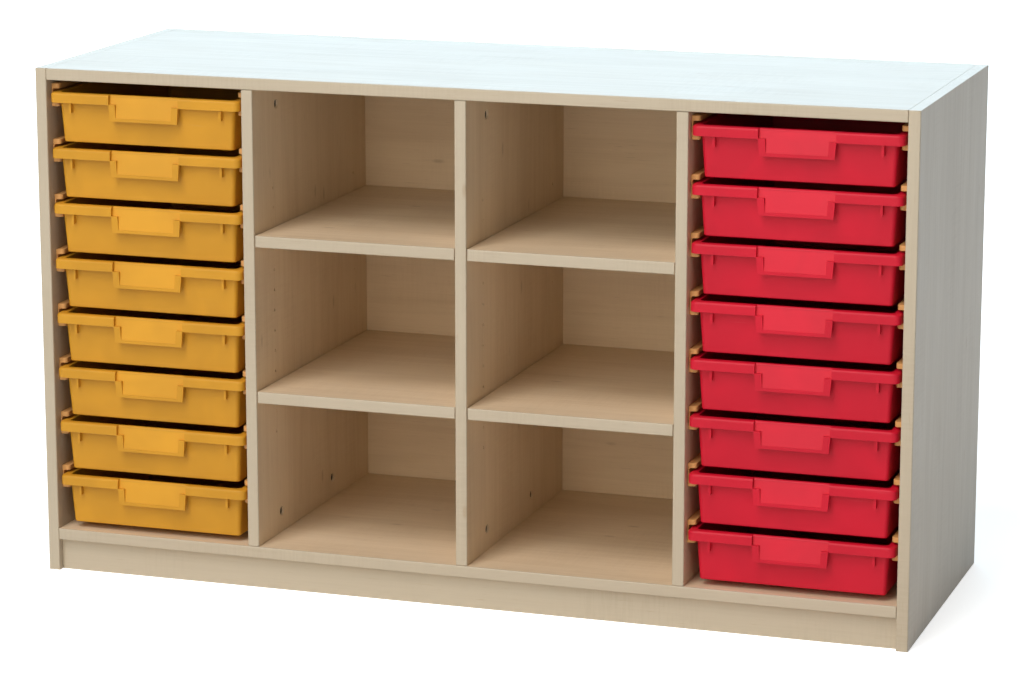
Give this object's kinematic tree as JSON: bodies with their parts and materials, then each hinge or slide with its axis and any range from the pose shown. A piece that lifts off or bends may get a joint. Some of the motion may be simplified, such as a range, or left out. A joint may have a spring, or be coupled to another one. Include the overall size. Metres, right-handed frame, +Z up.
{
  "type": "classroom tray storage unit",
  "caption": "Low board-built classroom storage unit with a column of pull-out plastic trays at each end and open shelved compartments between them.",
  "frame": {"origin": "on the floor, under the middle of the unit's width and depth", "axes": "+X along the unit's width to the right as seen from the front, +Y from the front to the back, +Z up"},
  "size_m": [1.38, 0.5, 0.798],
  "materials": {
    "maple_board": "maple faced, matt",
    "tray_yellow": "satin",
    "tray_red": "satin",
    "runner_plastic": "satin"
  },
  "bodies": {
    "carcass": {"left_end_panel": "maple_board", "right_end_panel": "maple_board", "top_panel": "maple_board", "base": "maple_board", "back_panel": "maple_board", "divider_1": "maple_board", "divider_2": "maple_board", "divider_3": "maple_board", "shelf_left_lower": "maple_board", "shelf_left_upper": "maple_board", "shelf_right_lower": "maple_board", "shelf_right_upper": "maple_board", "yellow_runner_1_left": "runner_plastic", "yellow_runner_1_right": "runner_plastic", "yellow_runner_2_left": "runner_plastic", "yellow_runner_2_right": "runner_plastic", "yellow_runner_3_left": "runner_plastic", "yellow_runner_3_right": "runner_plastic", "yellow_runner_4_left": "runner_plastic", "yellow_runner_4_right": "runner_plastic", "yellow_runner_5_left": "runner_plastic", "yellow_runner_5_right": "runner_plastic", "yellow_runner_6_left": "runner_plastic", "yellow_runner_6_right": "runner_plastic", "yellow_runner_7_left": "runner_plastic", "yellow_runner_7_right": "runner_plastic", "yellow_runner_8_left": "runner_plastic", "yellow_runner_8_right": "runner_plastic", "red_runner_1_left": "runner_plastic", "red_runner_1_right": "runner_plastic", "red_runner_2_left": "runner_plastic", "red_runner_2_right": "runner_plastic", "red_runner_3_left": "runner_plastic", "red_runner_3_right": "runner_plastic", "red_runner_4_left": "runner_plastic", "red_runner_4_right": "runner_plastic", "red_runner_5_left": "runner_plastic", "red_runner_5_right": "runner_plastic", "red_runner_6_left": "runner_plastic", "red_runner_6_right": "runner_plastic", "red_runner_7_left": "runner_plastic", "red_runner_7_right": "runner_plastic", "red_runner_8_left": "runner_plastic", "red_runner_8_right": "runner_plastic"},
    "yellow_tray_1": {"yellow_tray_1": "tray_yellow"},
    "yellow_tray_2": {"yellow_tray_2": "tray_yellow"},
    "yellow_tray_3": {"yellow_tray_3": "tray_yellow"},
    "yellow_tray_4": {"yellow_tray_4": "tray_yellow"},
    "yellow_tray_5": {"yellow_tray_5": "tray_yellow"},
    "yellow_tray_6": {"yellow_tray_6": "tray_yellow"},
    "yellow_tray_7": {"yellow_tray_7": "tray_yellow"},
    "yellow_tray_8": {"yellow_tray_8": "tray_yellow"},
    "red_tray_1": {"red_tray_1": "tray_red"},
    "red_tray_2": {"red_tray_2": "tray_red"},
    "red_tray_3": {"red_tray_3": "tray_red"},
    "red_tray_4": {"red_tray_4": "tray_red"},
    "red_tray_5": {"red_tray_5": "tray_red"},
    "red_tray_6": {"red_tray_6": "tray_red"},
    "red_tray_7": {"red_tray_7": "tray_red"},
    "red_tray_8": {"red_tray_8": "tray_red"}
  },
  "joints": [
    {"name": "yellow_tray_1_slide", "type": "slide", "parent": "carcass", "child": "yellow_tray_1", "axis": [0, -1, 0], "range_m": [0, 0.36]},
    {"name": "yellow_tray_2_slide", "type": "slide", "parent": "carcass", "child": "yellow_tray_2", "axis": [0, -1, 0], "range_m": [0, 0.36]},
    {"name": "yellow_tray_3_slide", "type": "slide", "parent": "carcass", "child": "yellow_tray_3", "axis": [0, -1, 0], "range_m": [0, 0.36]},
    {"name": "yellow_tray_4_slide", "type": "slide", "parent": "carcass", "child": "yellow_tray_4", "axis": [0, -1, 0], "range_m": [0, 0.36]},
    {"name": "yellow_tray_5_slide", "type": "slide", "parent": "carcass", "child": "yellow_tray_5", "axis": [0, -1, 0], "range_m": [0, 0.36]},
    {"name": "yellow_tray_6_slide", "type": "slide", "parent": "carcass", "child": "yellow_tray_6", "axis": [0, -1, 0], "range_m": [0, 0.36]},
    {"name": "yellow_tray_7_slide", "type": "slide", "parent": "carcass", "child": "yellow_tray_7", "axis": [0, -1, 0], "range_m": [0, 0.36]},
    {"name": "yellow_tray_8_slide", "type": "slide", "parent": "carcass", "child": "yellow_tray_8", "axis": [0, -1, 0], "range_m": [0, 0.36]},
    {"name": "red_tray_1_slide", "type": "slide", "parent": "carcass", "child": "red_tray_1", "axis": [0, -1, 0], "range_m": [0, 0.36]},
    {"name": "red_tray_2_slide", "type": "slide", "parent": "carcass", "child": "red_tray_2", "axis": [0, -1, 0], "range_m": [0, 0.36]},
    {"name": "red_tray_3_slide", "type": "slide", "parent": "carcass", "child": "red_tray_3", "axis": [0, -1, 0], "range_m": [0, 0.36]},
    {"name": "red_tray_4_slide", "type": "slide", "parent": "carcass", "child": "red_tray_4", "axis": [0, -1, 0], "range_m": [0, 0.36]},
    {"name": "red_tray_5_slide", "type": "slide", "parent": "carcass", "child": "red_tray_5", "axis": [0, -1, 0], "range_m": [0, 0.36]},
    {"name": "red_tray_6_slide", "type": "slide", "parent": "carcass", "child": "red_tray_6", "axis": [0, -1, 0], "range_m": [0, 0.36]},
    {"name": "red_tray_7_slide", "type": "slide", "parent": "carcass", "child": "red_tray_7", "axis": [0, -1, 0], "range_m": [0, 0.36]},
    {"name": "red_tray_8_slide", "type": "slide", "parent": "carcass", "child": "red_tray_8", "axis": [0, -1, 0], "range_m": [0, 0.36]}
  ]
}
